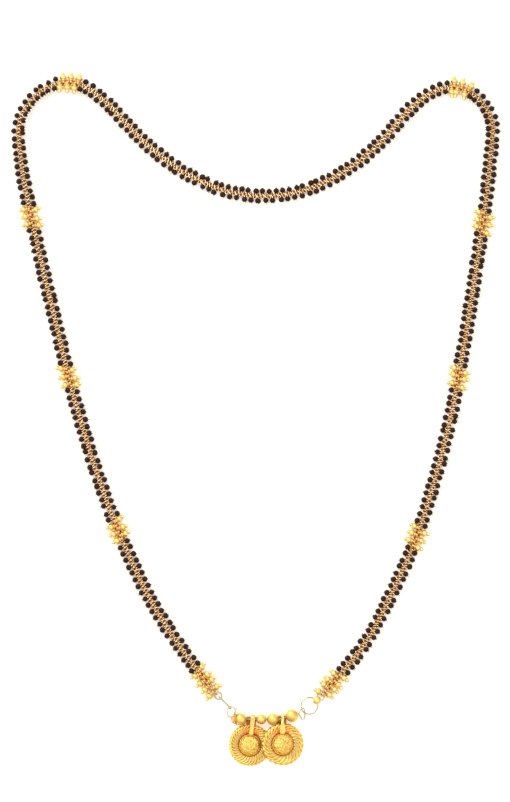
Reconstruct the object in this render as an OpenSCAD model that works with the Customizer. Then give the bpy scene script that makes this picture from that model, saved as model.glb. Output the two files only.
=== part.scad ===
// A long necklace of black beads and gold, lying flat on a table.
// Two rows of black glass beads run on either side of a gold wire braid.
// Clusters of gold beads break the rows, and two gold cups in coiled wire
// frames hang from a short wire that closes the loop at the front.
// Lengths are in millimetres. The table is z = 0, and +Y points to the back of the neck.

/* [Chain] */
// Width of the loop at its shoulders, between the chain's middles
loop_w = 189; // [180:0.5:200]
// Length of the loop from the chain's two ends to its shoulders, along +Y
loop_l = 242; // [230:0.5:255]
// Distance between neighbouring beads of one row, along the chain
pair_pitch = 2.86; // [2.6:0.01:3.6]
// Diameter of a black glass bead
black_bead_d = 2.3; // [1.6:0.1:2.4]
// Diameter of the thread that joins the black beads of one row
thread_d = 0.6; // [0.3:0.1:1.2]
// Width of the gold braid as if it bulged towards a pin on both sides
braid_w = 1.2; // [0.8:0.1:2]
// Width of the gold braid as if it had no bulge on either side
braid_waist_w = 0.8; // [0.5:0.1:1.2]
// Height of the gold braid
braid_h = 1.5; // [0.8:0.1:2]
// Free space between pieces that lie side by side
piece_gap = 0.15; // [0.1:0.05:0.3]
// Play between two wires that hold each other
link_play = 0.25; // [0.15:0.05:0.35]

/* [Gold clusters] */
// Width of a gold cluster bead, along the chain
gold_bead_w = 1.9; // [1.2:0.1:2.2]
// Length of a gold cluster bead, across the chain
gold_bead_l = 2.4; // [1.6:0.1:3]
// Diameter of the ball that closes the end of a cluster pin
tip_ball_d = 1.1; // [0.7:0.1:1.6]
// Diameter of a cluster pin
pin_d = 0.45; // [0.3:0.05:0.8]
// Length of pin that shows beyond its tip ball
pin_end_l = 0.5; // [0.2:0.1:1.5]

/* [Wire and rings] */
// Thickness of the wire of the rings and links
ring_wire_d = 0.5; // [0.4:0.05:0.6]
// Diameter of the large ring, outside
large_ring_d = 7.1; // [6.5:0.1:8]
// Diameter of the two small rings, outside
small_ring_d = 3.3; // [3.1:0.1:4]
// Length of the long link, outside
long_link_l = 7; // [6.6:0.1:7.6]
// Height of the long link, outside
long_link_h = 2.5; // [2.3:0.1:3]
// Diameter of the small ball at the end of the long link
link_ball_d = 1.3; // [0.9:0.1:1.6]
// Length of the ball link, outside
ball_link_l = 3.1; // [2.9:0.1:3.6]
// Height of the ball link, outside
ball_link_h = 2.1; // [1.9:0.1:2.5]
// Diameter of the ball on the ball link
ball_link_d = 3.2; // [2.6:0.1:3.8]
// Diameter of the eyes at the two ends of the chain, outside
end_eye_d = 2.2; // [1.9:0.1:2.3]
// Diameter of the stems of those eyes
end_stem_d = 1; // [0.6:0.1:1.2]
// Thickness of the wire that carries the hollow beads
carrier_wire_d = 0.5; // [0.4:0.05:0.6]
// Length of the carrier wire's left eye, outside
left_eye_l = 4.7; // [4.2:0.1:5.2]
// Width of the left eye, outside
left_eye_w = 3.7; // [3.2:0.1:4.1]
// Length of the carrier wire's right eye, outside
right_eye_l = 5.2; // [4.6:0.1:5.8]
// Width of the right eye, outside
right_eye_w = 3.2; // [2.8:0.1:3.6]
// Number of turns that the carrier wire's tail makes round its left end
tail_turns = 2; // [1:1:4]
// Bare wire between the first bead and the left bail
bead_a_space = 1.4; // [0.5:0.1:1.8]
// Bare wire between the left bail and the second bead
bead_b_space = 0.4; // [0.3:0.1:0.8]
// Bare wire between the third bead and the right bail
bead_c_space = 0.7; // [0.3:0.1:1.1]

/* [Hollow beads] */
// Diameter of the first hollow bead from the left
bead_a_d = 4.8; // [4:0.1:5]
// Diameter of the second hollow bead
bead_b_d = 4; // [3.4:0.1:4.6]
// Diameter of the third hollow bead
bead_c_d = 4.6; // [4:0.1:5]
// Diameter of the fourth hollow bead
bead_d_d = 5; // [4.6:0.1:5.6]
// Wall of a hollow bead
bead_wall = 0.4; // [0.25:0.05:0.8]
// Diameter of the holes of a hollow bead
bead_hole_d = 0.9; // [0.8:0.05:1.4]

/* [Pendants] */
// Diameter of a cup at its rim
cup_d = 8.2; // [6:0.1:9]
// Height of the cup's dome above its rim
cup_h = 3; // [2:0.1:4]
// Wall of a cup
cup_wall = 0.4; // [0.25:0.05:0.8]
// Height of the straight skirt below a cup's rim
skirt_h = 0.5; // [0.2:0.1:0.8]
// Thickness of the wire round a cup's rim
rim_wire_d = 0.6; // [0.4:0.05:0.8]
// Diameter of the coiled frame, outside
frame_d = 16.6; // [14:0.1:18]
// Height of the coiled frame
frame_h = 2.2; // [1.6:0.1:3]
// Thickness of the coiled wire
coil_wire_d = 0.5; // [0.35:0.05:0.6]
// Number of turns in a frame
coil_turns = 28; // [16:1:34]
// Width of the strip that a bail is bent from
bail_w = 2; // [1:0.1:2.6]
// Thickness of the strip that a bail is bent from
bail_t = 0.4; // [0.3:0.05:0.6]
// Diameter of the bail's eye, inside
bail_eye_d = 1.5; // [1.2:0.1:1.8]
// Distance from the carrier wire to the middle of a cup
pendant_drop = 10.4; // [10:0.1:12]
// Lean of the left pendant to the left
left_lean = 5.5; // [0:0.5:8]
// Lean of the right pendant to the left
right_lean = 1.5; // [0:0.5:8]

/* [Hidden] */
$fn = 32;
bead_fn = 20;
wire_fn = 16;

// The chosen points of the chain, from its left end up, round the back and down again.
route = [
    [-18, -107], [-33.5, -85.5], [-46, -63.5], [-59.5, -31.5], [-71.5, 6.5],
    [-81, 45], [-89, 79.5], [-93.5, 104.5], [-94, 119], [-88.5, 128.5],
    [-80, 134], [-70, 134], [-60, 127.5], [-51, 118], [-40, 107.5],
    [-27.5, 98.5], [-11.5, 91.5], [5.5, 89.5], [22.5, 92.5], [38.5, 101],
    [51, 111.5], [61.5, 123.5], [70.5, 130.5], [80, 133], [89.5, 128.5],
    [95, 119], [94.5, 107.5], [92.5, 87], [88, 56.5], [82.5, 22],
    [75.5, -11.5], [65.5, -45], [53.5, -72.5], [43.5, -90.5], [29, -108]
];
// The loop's width and length by those points. Its width grows from nothing at the two
// ends of the chain to the whole of it this far above them, so that the front stays.
route_w = 189;
route_l = 242;
widening_l = 100;

// The middle of the whole outline, which is taken off every point.
outline_mid = [0.5, 0.45];

// The gold clusters: the share of the chain's length at the middle of the inner row,
// and the number of steps that the outer row is ahead of it.
clusters = [
    [0.0045, 0], [0.1, 0], [0.188, 1], [0.28, 1], [0.372, 1],
    [0.636, 1], [0.72, 1], [0.808, 1], [0.9, 1], [0.9955, 0]
];
// Pairs of gold beads in one cluster
cluster_pairs = 3;
// Steps between two chosen points of the route
route_steps = 10;

// The chosen points, moved for the loop's width and length.
foot_y = route[0].y;
loop_points = [
    for (p = route)
        let (widening = max(0, min(1, (p.y - foot_y) / widening_l)))
            [
                p.x * (1 + widening * (loop_w / route_w - 1)),
                foot_y + (p.y - foot_y) * loop_l / route_l
            ]
];

// The chain's smooth line through those points.
function curve(a, b, c, d, t) =
    0.5 * (2 * b + (c - a) * t + (2 * a - 5 * b + 4 * c - d) * t * t
        + (3 * b - 3 * c + d - a) * t * t * t);
last = len(loop_points) - 1;
guide = [
    2 * loop_points[0] - loop_points[1],
    each loop_points,
    2 * loop_points[last] - loop_points[last - 1]
];
line = [
    for (i = [0 : last - 1], k = [0 : route_steps - 1])
        curve(guide[i], guide[i + 1], guide[i + 2], guide[i + 3], k / route_steps) - outline_mid,
    loop_points[last] - outline_mid
];
left_end = line[0];
right_end = line[len(line) - 1];
run = [
    for (i = 0, s = 0; i < len(line);
        i = i + 1, s = s + (i < len(line) ? norm(line[i] - line[i - 1]) : 0)) s
];
chain_l = run[len(run) - 1];
x_along = [for (i = [0 : len(line) - 1]) [run[i], line[i].x]];
y_along = [for (i = [0 : len(line) - 1]) [run[i], line[i].y]];
function at(s) = [lookup(s, x_along), lookup(s, y_along)];
function heading(s) = let (d = at(s + 1) - at(s - 1)) atan2(d.y, d.x);
// The point that lies y beside the chain's middle and z above the table.
function beside(s, y, z) = let (p = at(s), a = heading(s)) [p.x - y * sin(a), p.y + y * cos(a), z];

// Pins stand at even steps, in turn on the left and on the right of the braid.
first_pin_at = gold_bead_w / 4;
pairs = round((chain_l - 2 * first_pin_at - pair_pitch / 2) / pair_pitch);
pitch = (chain_l - 2 * first_pin_at) / (pairs + 0.5);
function pin_at(i, side) = first_pin_at + (i + (1 - side) / 4) * pitch;
half_cluster = (cluster_pairs - 1) / 2;
cluster_mid = [
    for (cluster = clusters)
        max(half_cluster, min(pairs - half_cluster, round(cluster[0] * pairs)))
];
// The first pin of a cluster on one side, with the outer row on side 1.
function cluster_from(index, side) =
    cluster_mid[index] - half_cluster + (side > 0 ? clusters[index][1] : 0);

chain_z = black_bead_d / 2;
row_offset = braid_w / 2 + piece_gap + black_bead_d / 2;
pin_start = braid_w / 2 + piece_gap;
gold_bead_at = pin_start + gold_bead_l / 2;
tip_ball_off = 0.35 * tip_ball_d;
tip_ball_at = pin_start + gold_bead_l + tip_ball_off;
pin_stop = tip_ball_at + tip_ball_d / 2 + pin_end_l;

// Heights of the pieces at the front.
wire_z = bead_d_d / 2;
ring_r = ring_wire_d / 2;
frame_r = frame_d / 2;
cup_r = cup_d / 2;
rim_z = frame_h / 2;
// The coil's inner side is soldered to the rim wire.
coil_seat = 0.6 * rim_wire_d;
coil_in_r = cup_r + coil_seat;
coil_out_r = frame_r - coil_wire_d / 2;
coil_mid_r = (coil_in_r + coil_out_r) / 2;
coil_half_w = (coil_out_r - coil_in_r) / 2;
coil_half_h = (frame_h - coil_wire_d) / 2;
coil_steps = 10;
coil_sides = 5;
dome_r = (cup_r * cup_r + cup_h * cup_h) / (2 * cup_h);
dome_z = rim_z + cup_h - dome_r;
bail_eye_r = bail_eye_d / 2;
// The right frame leans on the left one, so it tips, and its low side lies on the table.
tip_angle = asin((frame_h + 3 * piece_gap) / (frame_r + coil_mid_r));
coil_reach = norm([coil_half_w * sin(tip_angle), coil_half_h * cos(tip_angle)]);
tip_lift = coil_mid_r * sin(tip_angle) + coil_reach + coil_wire_d / 2 - rim_z * cos(tip_angle);

// Places on the carrier wire, in order from its left end to its right end.
front_mid = [4.2, -119.8];
rise_angle = 15;
// The tail's turns press into the wire a little, so that they are one solid with it.
turn_step = 0.9 * carrier_wire_d;
tail_l = carrier_wire_d / 2 + tail_turns * turn_step;
bead_a_x = tail_l + piece_gap + bead_a_d / 2;
left_bail_x = bead_a_x + bead_a_d / 2 + bead_a_space + bail_w / 2;
bead_b_x = left_bail_x + bail_w / 2 + bead_b_space + bead_b_d / 2;
bead_c_x = bead_b_x + bead_b_d / 2 + 2 * piece_gap + bead_c_d / 2;
right_bail_x = bead_c_x + bead_c_d / 2 + bead_c_space + bail_w / 2;
bead_d_x = right_bail_x + bail_w / 2 + piece_gap + bead_d_d / 2;
carrier_l = bead_d_x + bead_d_d / 2 + piece_gap;
bend_x = bead_c_x + bead_c_d / 2;
wire_left = front_mid - outline_mid - [carrier_l / 2, 0];
// The point of the carrier wire that lies x along from its left end.
function on_wire(x) = wire_left + [x, max(0, x - bend_x) * tan(rise_angle)];
wire_right = on_wire(carrier_l);

// Solids that repeat

// A wire from one point to another.
module bar(a, b, d) {
    v = b - a;
    translate(a)
        rotate([0, acos(v.z / norm(v)), atan2(v.y, v.x)])
            cylinder(h = norm(v), d = d);
}

// A closed ring of wire that lies flat.
module ring(outer_d, wire_d) {
    rotate_extrude()
        translate([(outer_d - wire_d) / 2, 0])
            circle(d = wire_d, $fn = wire_fn);
}

// A closed oval link of wire that lies flat, with its length along x.
module link(outer_l, outer_w, wire_d) {
    r = (outer_w - wire_d) / 2;
    straight = outer_l - outer_w;
    for (side = [-1, 1]) {
        translate([side * straight / 2, 0, 0])
            rotate([0, 0, side * 90 - 180])
                rotate_extrude(angle = 180)
                    translate([r, 0])
                        circle(d = wire_d, $fn = wire_fn);
        translate([-straight / 2, side * r, 0])
            rotate([0, 90, 0])
                cylinder(h = straight, d = wire_d, $fn = wire_fn);
    }
}

// Places of the rings and links, walked outwards from the two ends of the carrier wire.

// Wires that hold each other keep this distance between their middles.
seat = ring_wire_d + link_play;
small_r = (small_ring_d - ring_wire_d) / 2;
large_r = (large_ring_d - ring_wire_d) / 2;
function ahead(p, a, l) = [p.x + l * cos(a), p.y + l * sin(a)];

// The angles are headings in the plane of the table, counted from +X.
left_eye_neck = 0.8;
left_eye_angle = 92;
left_eye_dip = 14;
left_seat_angle = 267;
left_link_angle = 135;
left_eye_mid = ahead(wire_left, left_eye_angle, left_eye_neck + left_eye_l / 2 - ring_r);
left_eye_far = ahead(left_eye_mid, left_eye_angle, left_eye_l / 2 - ring_r);
long_link_from = ahead(left_eye_far, left_seat_angle, seat);
long_link_to = ahead(long_link_from, left_link_angle, long_link_l - ring_wire_d);
left_ring_mid = ahead(long_link_to, left_link_angle, small_r - seat);

right_eye_neck = [0.3, 0.35];
right_eye_drop = 0.2;
right_eye_dip = 28;
right_eye_roll = -20;
right_seat_angle = 44;
right_link_angle = 40;
right_eye_half = (right_eye_w - ring_wire_d) / 2;
right_eye_mid = wire_right + right_eye_neck + [right_eye_half, 0];
large_ring_tilt = [13, 15, 0];
large_ring_mid =
    ahead(right_eye_mid, right_seat_angle, large_r + right_eye_half - seat - piece_gap);
ball_link_from = ahead(large_ring_mid, right_link_angle, large_r - seat);
ball_link_to = ahead(ball_link_from, right_link_angle, ball_link_l - ring_wire_d);
right_ring_mid = ahead(ball_link_to, right_link_angle, small_r - seat);

// The links stand on edge just clear of the table, and the small rings lie across them.
link_lift = 0.25;
ring_rise = 0.1;
link_z = link_lift + long_link_h / 2;
small_ring_z = chain_z + ring_rise;

// Where a vector points after the turns that rotate([roll, dip, angle]) gives.
function turned(v, roll, dip, angle) =
    let (
        a = [v.x, v.y * cos(roll) - v.z * sin(roll), v.y * sin(roll) + v.z * cos(roll)],
        b = [a.x * cos(dip) + a.z * sin(dip), a.y, a.z * cos(dip) - a.x * sin(dip)]
    ) [b.x * cos(angle) - b.y * sin(angle), b.x * sin(angle) + b.y * cos(angle), b.z];

left_eye_place = [
    left_eye_mid.x, left_eye_mid.y,
    wire_z - (left_eye_l / 2 - ring_r) * sin(left_eye_dip)
];
right_eye_place = [right_eye_mid.x, right_eye_mid.y, wire_z - right_eye_drop];
right_eye_near =
    right_eye_place + turned([0, right_eye_half, 0], right_eye_roll, right_eye_dip, 90);
// The large ring's lowest point lies on the table.
large_ring_place = [
    large_ring_mid.x, large_ring_mid.y,
    ring_r + large_r * sqrt(1 - pow(cos(large_ring_tilt.x) * cos(large_ring_tilt.y), 2))
];

// The chain

// The gold braid, a flat plait of wire eyes that bulges towards each pin.
module gold_braid() {
    sides = 6;
    eyes = [for (i = [0 : pairs], side = [1, -1]) [pin_at(i, side), side]];
    rings = [[0, 0], each eyes, [chain_l, 0]];
    points = [
        for (ring = rings, k = [0 : sides - 1])
            let (
                turn = k * 360 / sides,
                w = cos(turn) * ring[1] > 0 ? braid_w : braid_waist_w
            ) beside(ring[0], w / 2 * cos(turn), chain_z + braid_h / 2 * sin(turn))
    ];
    last_ring = len(rings) - 1;
    walls = [
        for (j = [0 : last_ring - 1], k = [0 : sides - 1])
            let (a = j * sides + k, b = j * sides + (k + 1) % sides)
                each [[a, a + sides, b], [b, a + sides, b + sides]]
    ];
    ends = [
        [for (k = [0 : sides - 1]) k],
        [for (k = [sides - 1 : -1 : 0]) last_ring * sides + k]
    ];
    color("goldenrod")
        polyhedron(points, concat(walls, ends));
}

// One row of black beads on its thread, between two pairs of the chain.
module bead_row(first, final, side) {
    // The bead's poles lie in the thread, and its seam on its side.
    for (i = [first : final])
        translate(beside(pin_at(i, side), side * row_offset, chain_z))
            rotate([0, 90, heading(pin_at(i, side))])
                rotate([0, 0, 90])
                    sphere(d = black_bead_d, $fn = bead_fn);
    for (i = [first : final - 1]) {
        a = beside(pin_at(i, side), side * row_offset, chain_z);
        b = beside(pin_at(i + 1, side), side * row_offset, chain_z);
        inset = (b - a) / norm(b - a) * black_bead_d / 4;
        bar(a + inset, b - inset, thread_d);
    }
}

// The two rows of black beads between one gold cluster and the next.
module black_beads(number) {
    color([0.08, 0.06, 0.08])
        for (side = [-1, 1])
            bead_row(
                cluster_from(number - 1, side) + cluster_pairs,
                cluster_from(number, side) - 1,
                side
            );
}

// A gold pin with its oval bead and the ball that closes it, pointing up.
module cluster_pin() {
    rotate_extrude()
        intersection() {
            union() {
                translate([-pin_d / 2, pin_start])
                    square([pin_d, pin_stop - pin_start]);
                for (end = [-1, 1])
                    translate([0, gold_bead_at + end * (gold_bead_l - gold_bead_w) / 2])
                        circle(d = gold_bead_w);
                translate([0, tip_ball_at])
                    circle(d = tip_ball_d);
            }
            square([gold_bead_w, 2 * pin_stop]);
        }
}

// The gold pins of one cluster, three on each side of the braid.
module gold_cluster(number) {
    color("gold")
        for (i = [0 : cluster_pairs - 1], side = [-1, 1])
            let (s = pin_at(cluster_from(number - 1, side) + i, side))
                translate(beside(s, 0, chain_z))
                    rotate([-side * 90, 0, heading(s)])
                        cluster_pin();
}

// The front

// An eye on a short stem, from an end of the braid to a point inside a small ring.
module end_eye(braid_end, hold) {
    d = hold - braid_end;
    reach = norm(d) + ring_r;
    stem_from = 2 * piece_gap;
    translate([braid_end.x, braid_end.y, chain_z])
        rotate([0, 0, atan2(d.y, d.x)]) {
            translate([stem_from, 0, 0])
                rotate([0, 90, 0])
                    cylinder(h = reach - end_eye_d + ring_r - stem_from, d = end_stem_d);
            translate([reach - end_eye_d / 2, 0, 0])
                rotate([90, 0, 0])
                    ring(end_eye_d, ring_wire_d);
        }
}

// The point inside a small ring where an end eye holds it.
function hold_point(ring_mid, braid_end) =
    let (d = braid_end - ring_mid) ring_mid + d / norm(d) * (small_r - seat);

module left_end_eye() {
    color("khaki")
        end_eye(left_end, hold_point(left_ring_mid, left_end));
}

module right_end_eye() {
    color("khaki")
        end_eye(right_end, hold_point(right_ring_mid, right_end));
}

module small_ring(mid) {
    color("khaki")
        translate([mid.x, mid.y, small_ring_z])
            ring(small_ring_d, ring_wire_d);
}

// The long link stands on edge, with a ball soldered on it near the carrier wire's eye.
module long_link() {
    mid = (long_link_from + long_link_to) / 2;
    ball = ahead(long_link_from, left_link_angle, link_ball_d / 2);
    ball_rise = 0.15 * link_ball_d;
    color("khaki") {
        translate([mid.x, mid.y, link_z])
            rotate([90, 0, left_link_angle])
                link(long_link_l, long_link_h, ring_wire_d);
        translate([ball.x, ball.y, link_z + long_link_h / 2 + ball_rise])
            sphere(d = link_ball_d);
    }
}

// The wire through the four hollow beads, with an eye at each end and its tail wound round it.
module carrier_wire() {
    joint_d = 1.2 * carrier_wire_d;
    left = [wire_left.x, wire_left.y, wire_z];
    bend = [on_wire(bend_x).x, on_wire(bend_x).y, wire_z];
    right = [wire_right.x, wire_right.y, wire_z];
    neck = ahead(wire_left, left_eye_angle, left_eye_neck);
    color("khaki") {
        translate(left)
            rotate([0, 90, 0])
                tail();
        bar(left + [tail_l / 2, 0, 0], bend, carrier_wire_d);
        bar(bend, right, carrier_wire_d);
        bar(left, [neck.x, neck.y, wire_z], carrier_wire_d);
        bar(right, right_eye_near, carrier_wire_d);
        for (p = [left, right])
            translate(p)
                sphere(d = joint_d);
        translate(bend)
            rotate([0, 90, 0])
                sphere(d = joint_d);
        translate(left_eye_place)
            rotate([0, left_eye_dip, left_eye_angle])
                link(left_eye_l, left_eye_w, carrier_wire_d);
        translate(right_eye_place)
            rotate([right_eye_roll, right_eye_dip, 90])
                link(right_eye_l, right_eye_w, carrier_wire_d);
    }
}

// The turns of the tail, pointing up, pressed on the wire inside them.
module tail() {
    filled_r = 0.7 * carrier_wire_d;
    rotate_extrude()
        union() {
            square([filled_r, tail_turns * turn_step]);
            for (turn = [1 : tail_turns])
                translate([turn_step, carrier_wire_d / 2 + (turn - 0.5) * turn_step])
                    circle(d = carrier_wire_d, $fn = wire_fn);
        }
}

// A hollow gold bead with a hole at each end, threaded on the carrier wire.
module hollow_bead(x, d) {
    p = on_wire(x);
    color("gold")
        translate([p.x, p.y, wire_z])
            rotate([0, 90, x > bend_x ? rise_angle : 0])
                rotate_extrude()
                    difference() {
                        circle(d = d);
                        circle(d = d - 2 * bead_wall);
                        translate([-d, -d])
                            square([d + bead_hole_d / 2, 2 * d]);
                    }
}

// The coiled wire round a cup, one closed wire that winds round a circle.
module coil() {
    steps = coil_turns * coil_steps;
    function turn_mid(a) = [coil_mid_r * cos(a), coil_mid_r * sin(a), rim_z];
    function on_coil(a) =
        let (r = coil_mid_r + coil_half_w * cos(coil_turns * a))
            [r * cos(a), r * sin(a), rim_z + coil_half_h * sin(coil_turns * a)];
    points = [
        for (i = [0 : steps - 1], k = [0 : coil_sides - 1])
            let (
                a = i * 360 / steps,
                p = on_coil(a),
                t = on_coil(a + 0.1) - on_coil(a - 0.1),
                tangent = t / norm(t),
                out = p - turn_mid(a),
                flat = out - tangent * (out * tangent),
                n = flat / norm(flat),
                b = cross(tangent, n),
                turn = k * 360 / coil_sides
            ) p + coil_wire_d / 2 * (n * cos(turn) + b * sin(turn))
    ];
    walls = [
        for (i = [0 : steps - 1], k = [0 : coil_sides - 1])
            let (
                j = (i + 1) % steps,
                m = (k + 1) % coil_sides,
                a = i * coil_sides + k,
                b = i * coil_sides + m,
                c = j * coil_sides + k,
                d = j * coil_sides + m
            ) each [[a, c, b], [b, c, d]]
    ];
    polyhedron(points, walls);
}

// A domed cup, open underneath, with a wire round its rim.
module cup() {
    rotate_extrude()
        difference() {
            union() {
                intersection() {
                    translate([0, dome_z])
                        circle(r = dome_r);
                    translate([0, rim_z])
                        square([dome_r, dome_r]);
                }
                translate([0, rim_z - skirt_h])
                    square([cup_r, skirt_h]);
                translate([cup_r + rim_wire_d / 6, rim_z])
                    circle(d = rim_wire_d, $fn = wire_fn);
            }
            intersection() {
                translate([0, dome_z])
                    circle(r = dome_r - cup_wall);
                translate([0, rim_z - skirt_h])
                    square([cup_r - cup_wall, 2 * dome_r]);
            }
            translate([0, rim_z - skirt_h])
                square([cup_r - cup_wall, skirt_h]);
        }
}

// The strip from the cup's dome over the frame to the eye round the carrier wire.
module bail(lift) {
    over_frame = lift + frame_h + piece_gap;
    hold_r = sqrt(pow(dome_r - cup_wall / 2, 2) - pow(over_frame - lift - dome_z, 2));
    eye_r = bail_eye_r + bail_t;
    // The strip meets its eye between these two shares of the eye's radius.
    low = 0.9;
    high = 0.4;
    rotate([90, 0, 90])
        linear_extrude(height = bail_w, center = true)
            difference() {
                union() {
                    translate([0, wire_z])
                        circle(r = eye_r);
                    polygon([
                        [hold_r - pendant_drop, over_frame],
                        [-eye_r * low, wire_z],
                        [-eye_r * high, wire_z + eye_r * low],
                        [hold_r - pendant_drop, over_frame + bail_t]
                    ]);
                }
                translate([0, wire_z])
                    circle(r = bail_eye_r);
            }
}

// A cup in its coiled frame, hung by its bail from the carrier wire.
module pendant(x, lean, tip, lift) {
    p = on_wire(x);
    translate([p.x, p.y, 0])
        rotate([0, 0, -lean]) {
            translate([0, -pendant_drop, lift])
                rotate([0, tip, 0]) {
                    cup();
                    coil();
                }
            bail(lift);
        }
}

module left_pendant() {
    color("gold")
        pendant(left_bail_x, left_lean, 0, 0);
}

module right_pendant() {
    color("gold")
        pendant(right_bail_x, right_lean, tip_angle, tip_lift);
}

module large_ring() {
    color("khaki")
        translate(large_ring_place)
            rotate(large_ring_tilt)
                ring(large_ring_d, ring_wire_d);
}

// A link on edge between the large ring and the small one, with a gold ball on top.
module ball_link() {
    mid = (ball_link_from + ball_link_to) / 2;
    z = link_lift + ball_link_h / 2;
    ball_sink = 0.7 * ring_wire_d;
    color("gold") {
        translate([mid.x, mid.y, z])
            rotate([90, 0, right_link_angle])
                link(ball_link_l, ball_link_h, ring_wire_d);
        translate([mid.x, mid.y, z + ball_link_h / 2 - ball_sink + ball_link_d / 2])
            sphere(d = ball_link_d);
    }
}

gold_braid();
black_beads(1);  // black_beads_1
black_beads(2);  // black_beads_2
black_beads(3);  // black_beads_3
black_beads(4);  // black_beads_4
black_beads(5);  // black_beads_5
black_beads(6);  // black_beads_6
black_beads(7);  // black_beads_7
black_beads(8);  // black_beads_8
black_beads(9);  // black_beads_9
gold_cluster(1);  // gold_cluster_1
gold_cluster(2);  // gold_cluster_2
gold_cluster(3);  // gold_cluster_3
gold_cluster(4);  // gold_cluster_4
gold_cluster(5);  // gold_cluster_5
gold_cluster(6);  // gold_cluster_6
gold_cluster(7);  // gold_cluster_7
gold_cluster(8);  // gold_cluster_8
gold_cluster(9);  // gold_cluster_9
gold_cluster(10);  // gold_cluster_10
left_end_eye();
small_ring(left_ring_mid);  // left_small_ring
long_link();
carrier_wire();
hollow_bead(bead_a_x, bead_a_d);  // hollow_bead_a
hollow_bead(bead_b_x, bead_b_d);  // hollow_bead_b
hollow_bead(bead_c_x, bead_c_d);  // hollow_bead_c
hollow_bead(bead_d_x, bead_d_d);  // hollow_bead_d
left_pendant();
right_pendant();
large_ring();
ball_link();
small_ring(right_ring_mid);  // right_small_ring
right_end_eye();
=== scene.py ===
import math
import random

import bmesh
import bpy
from mathutils import Matrix, Vector


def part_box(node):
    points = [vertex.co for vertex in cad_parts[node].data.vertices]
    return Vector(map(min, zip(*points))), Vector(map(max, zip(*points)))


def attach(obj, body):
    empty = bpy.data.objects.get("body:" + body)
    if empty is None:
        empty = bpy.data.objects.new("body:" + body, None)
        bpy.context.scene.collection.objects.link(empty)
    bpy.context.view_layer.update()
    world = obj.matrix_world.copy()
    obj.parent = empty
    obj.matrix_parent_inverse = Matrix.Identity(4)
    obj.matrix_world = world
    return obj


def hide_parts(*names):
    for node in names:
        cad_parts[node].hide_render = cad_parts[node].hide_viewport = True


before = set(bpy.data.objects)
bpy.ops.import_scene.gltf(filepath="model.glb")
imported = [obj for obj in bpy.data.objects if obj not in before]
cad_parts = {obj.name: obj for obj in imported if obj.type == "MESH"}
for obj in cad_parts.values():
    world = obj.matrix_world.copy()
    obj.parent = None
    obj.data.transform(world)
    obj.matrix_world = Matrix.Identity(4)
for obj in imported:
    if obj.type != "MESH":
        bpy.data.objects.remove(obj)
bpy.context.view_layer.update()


# Black beads
# Small drilled beads of black glass, a little uneven in size, each loose on its own gold
# pin. The pins stand in turn on the left and on the right of the chain's middle.

MM = 0.001
outline_middle = Vector((0.5, 0.45, 0)) * MM
# The chain's middle from its left end up, round the back of the neck and down again.
chain_route = [
    (-18, -107), (-33.5, -85.5), (-46, -63.5), (-59.5, -31.5), (-71.5, 6.5),
    (-81, 45), (-89, 79.5), (-93.5, 104.5), (-94, 119), (-88.5, 128.5),
    (-80, 134), (-70, 134), (-60, 127.5), (-51, 118), (-40, 107.5),
    (-27.5, 98.5), (-11.5, 91.5), (5.5, 89.5), (22.5, 92.5), (38.5, 101),
    (51, 111.5), (61.5, 123.5), (70.5, 130.5), (80, 133), (89.5, 128.5),
    (95, 119), (94.5, 107.5), (92.5, 87), (88, 56.5), (82.5, 22),
    (75.5, -11.5), (65.5, -45), (53.5, -72.5), (43.5, -90.5), (29, -108),
]
route_steps = 10
bead_width = 2.3 * MM
bead_length = 2.2 * MM
bead_hole = 0.6 * MM
bead_out = 1.9 * MM
bead_lift = 0.05 * MM
chain_height = bead_width / 2 + bead_lift
pin_step = 2.86 * MM
first_pin_at = 0.475 * MM
# The share of the chain at each gold cluster's middle, and the steps its outer row is ahead.
clusters = [(0.0045, 0), (0.1, 0), (0.188, 1), (0.28, 1), (0.372, 1),
            (0.636, 1), (0.72, 1), (0.808, 1), (0.9, 1), (0.9955, 0)]
# How many pairs a cluster reaches from its middle one, and how many a spare pair may be off.
cluster_reach = 1
spare_reach = 3
# At its two shoulders the band rolls outwards, so that its inner row stands up.
left_shoulder = Vector((-88, 124, 0)) * MM
right_shoulder = Vector((88, 125, 0)) * MM
left_shoulder_roll = math.radians(34)
right_shoulder_roll = math.radians(20)
shoulder_reach = 24 * MM


def curve_point(a, b, c, d, t):
    """The point at a share t of the way from b to c, on a smooth curve past a, b, c and d."""
    return 0.5 * (2 * b + (c - a) * t + (2 * a - 5 * b + 4 * c - d) * t ** 2
                  + (3 * b - 3 * c + d - a) * t ** 3)


def smooth_line(points, steps, closed=False):
    """A line through all the points, with a number of steps between two of them."""
    if closed:
        guide = [points[-1], *points, points[0], points[1]]
    else:
        guide = [2 * points[0] - points[1], *points, 2 * points[-1] - points[-2]]
    line = [curve_point(a, b, c, d, step / steps)
            for a, b, c, d in zip(guide, guide[1:], guide[2:], guide[3:])
            for step in range(steps)]
    return line if closed else line + [points[-1]]


chain_line = smooth_line([Vector((x, y, 0)) * MM - outline_middle for x, y in chain_route],
                         route_steps)
chain_runs = [0.0]
for here, there in zip(chain_line, chain_line[1:]):
    chain_runs.append(chain_runs[-1] + (there - here).length)
last_pair = round((chain_runs[-1] - 2 * first_pin_at - pin_step / 2) / pin_step)
pin_step = (chain_runs[-1] - 2 * first_pin_at) / (last_pair + 0.5)
cluster_middles = [(max(1, min(last_pair - 1, round(share * last_pair))), lead)
                   for share, lead in clusters]


def along_chain(distance):
    """The point of the chain's middle at a distance from its left end, or straight on."""
    for a, b, start, stop in zip(chain_line, chain_line[1:], chain_runs, chain_runs[1:]):
        if distance <= stop or stop == chain_runs[-1]:
            return a.lerp(b, (distance - start) / (stop - start))


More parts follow.
